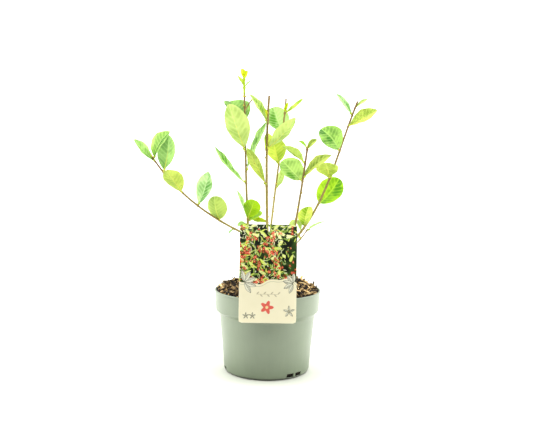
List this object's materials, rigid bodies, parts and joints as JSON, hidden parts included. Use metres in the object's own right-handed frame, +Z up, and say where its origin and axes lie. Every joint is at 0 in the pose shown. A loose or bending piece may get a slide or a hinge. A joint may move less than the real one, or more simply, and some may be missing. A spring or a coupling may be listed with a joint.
{
  "type": "potted black chokeberry",
  "caption": "Young black chokeberry shrub with slender upright and arching leafy stems, in a round green nursery pot of bark compost with a plain plant label.",
  "frame": {"origin": "centre of the pot's flat underside, on the surface that it stands on", "axes": "+Z up along the pot's axis; -Y is the front, where the label hangs; +X is to the right seen from the front"},
  "size_m": [0.3836, 0.1923, 0.4899],
  "materials": {
    "pot_plastic": "satin",
    "bark_compost": "rough",
    "label_card": "satin",
    "stem_bark": "rough",
    "leaf_green": "satin"
  },
  "bodies": {
    "root": {"pot": "pot_plastic", "compost": "bark_compost", "plant_label": "label_card", "main_stem": "stem_bark", "left_stem": "stem_bark", "back_stem": "stem_bark", "right_stem": "stem_bark", "left_bough": "stem_bark", "right_bough": "stem_bark", "main_stem_leaves": "leaf_green", "left_stem_leaves": "leaf_green", "back_stem_leaves": "leaf_green", "right_stem_leaves": "leaf_green", "left_bough_leaves": "leaf_green", "right_bough_leaves": "leaf_green", "low_twig_leaves": "leaf_green"}
  },
  "joints": []
}
